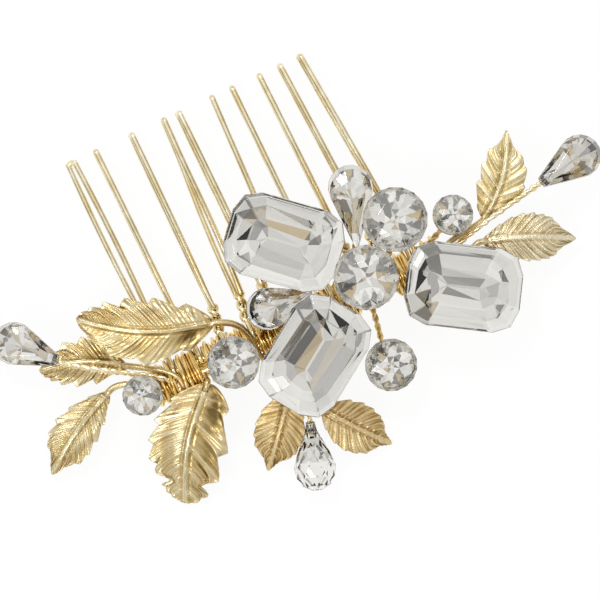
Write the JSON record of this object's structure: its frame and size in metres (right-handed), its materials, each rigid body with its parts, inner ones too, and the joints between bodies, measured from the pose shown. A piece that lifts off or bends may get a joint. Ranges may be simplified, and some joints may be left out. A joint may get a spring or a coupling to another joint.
{
  "type": "decorative hair comb",
  "caption": "Gold wire hair comb with a spray of gold leaves, step-cut, round and drop-shaped clear crystals on wire stems along its wound spine.",
  "frame": {"origin": "middle of the spine, on the axis of the spine rod", "axes": "+X along the spine to the end with the drop and two leaves, +Y from the spine to the tips of the teeth, +Z to the face of the crystals, away from the head"},
  "size_m": [0.0978, 0.0625, 0.0147],
  "materials": {
    "gold": "polished pale gold plate",
    "satin_gold": "fine-textured, matte pale gold plate",
    "winding_gold": "drawn gold-coloured wire",
    "crystal": "clear cut glass with a bright back"
  },
  "bodies": {
    "root": {"tooth_01": "gold", "tooth_02": "gold", "tooth_03": "gold", "tooth_04": "gold", "tooth_05": "gold", "tooth_06": "gold", "tooth_07": "gold", "tooth_08": "gold", "tooth_09": "gold", "tooth_10": "gold", "spine_rod": "gold", "spray_wire": "gold", "left_binding": "winding_gold", "right_binding": "winding_gold", "upper_step_stone": "crystal", "right_step_stone": "crystal", "lower_step_stone": "crystal", "upper_step_setting": "gold", "right_step_setting": "gold", "lower_step_setting": "gold", "top_round_stone": "crystal", "centre_round_stone": "crystal", "left_round_stone": "crystal", "far_left_round_stone": "crystal", "far_right_round_stone": "crystal", "low_round_stone": "crystal", "top_round_setting": "gold", "centre_round_setting": "gold", "left_round_setting": "gold", "far_left_round_setting": "gold", "far_right_round_setting": "gold", "low_round_setting": "gold", "left_end_drop": "crystal", "right_end_drop": "crystal", "hanging_drop": "crystal", "tucked_drop_stone": "crystal", "top_drop_stone": "crystal", "left_end_drop_stem": "gold", "right_end_drop_stem": "gold", "hanging_drop_stem": "gold", "tucked_drop_setting": "gold", "top_drop_setting": "gold", "spine_leaf": "gold", "left_upper_leaf": "gold", "left_lower_leaf": "gold", "large_low_leaf": "gold", "low_left_leaf": "satin_gold", "low_right_leaf": "satin_gold", "right_upper_leaf": "gold", "right_lower_leaf": "satin_gold"}
  },
  "joints": []
}
